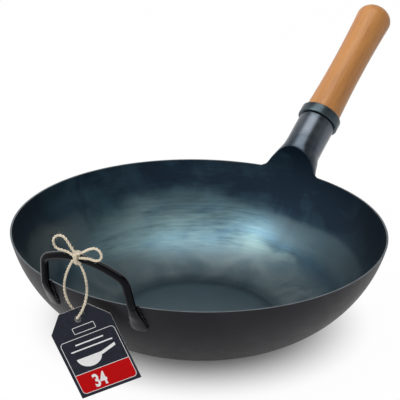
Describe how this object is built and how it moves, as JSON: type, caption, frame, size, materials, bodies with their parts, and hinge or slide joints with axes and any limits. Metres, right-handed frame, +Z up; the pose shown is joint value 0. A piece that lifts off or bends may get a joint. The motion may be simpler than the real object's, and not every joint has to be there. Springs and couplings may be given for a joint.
{
  "type": "carbon steel wok",
  "caption": "Round-sided carbon steel wok with a flat base, a wooden grip screwed into a rolled socket, a welded rod loop handle and a card tag on twine.",
  "frame": {"origin": "centre of the flat base's underside, on the bowl's axis", "axes": "+Z up along the bowl's axis, +X towards the long wooden handle, +Y to the left of it seen from above"},
  "size_m": [0.5384, 0.34, 0.2174],
  "materials": {
    "blued_steel": "heat-blued sheet steel, dark with cloudy lighter blue patches inside",
    "weld_metal": "rough weld bead",
    "bare_steel": "turned steel",
    "collar_steel": "blued, satin",
    "rod_steel": "dark blued rod, satin",
    "wood": "turned hardwood, satin varnish",
    "card": "dark printed card, matt",
    "twine": "jute"
  },
  "bodies": {
    "wok": {"pan": "blued_steel", "seam_weld": "weld_metal", "socket_plug": "bare_steel", "plug_weld": "weld_metal", "helper_handle": "rod_steel", "helper_weld_left": "weld_metal", "helper_weld_right": "weld_metal"},
    "collar": {"grip_collar": "collar_steel"},
    "wooden_grip": {"grip": "wood", "grip_stud": "bare_steel"},
    "hang_tag": {"tag_card": "card", "twine_knot": "twine", "twine_hanger": "twine", "twine_bow_left": "twine", "twine_bow_right": "twine"}
  },
  "joints": [
    {"name": "collar_slide", "type": "slide", "parent": "wok", "child": "collar", "axis": [0.8251, 0, 0.565], "range_m": [0, 0.0123]},
    {"name": "grip_turn", "type": "hinge", "parent": "collar", "child": "wooden_grip", "pos_m": [0.17, 0, 0.0896], "axis": [0.8251, 0, 0.565], "range_deg": [0, 2520]},
    {"name": "tag_swing", "type": "hinge", "parent": "wok", "child": "hang_tag", "pos_m": [-0.17514, 0.00858, 0.12351], "axis": [0.0345, 0.9983, -0.0473], "range_deg": [0, 70]}
  ],
  "couplings": [
    {"joint": "collar_slide", "follows": "grip_turn", "m_per_rad": 0.00027852}
  ]
}
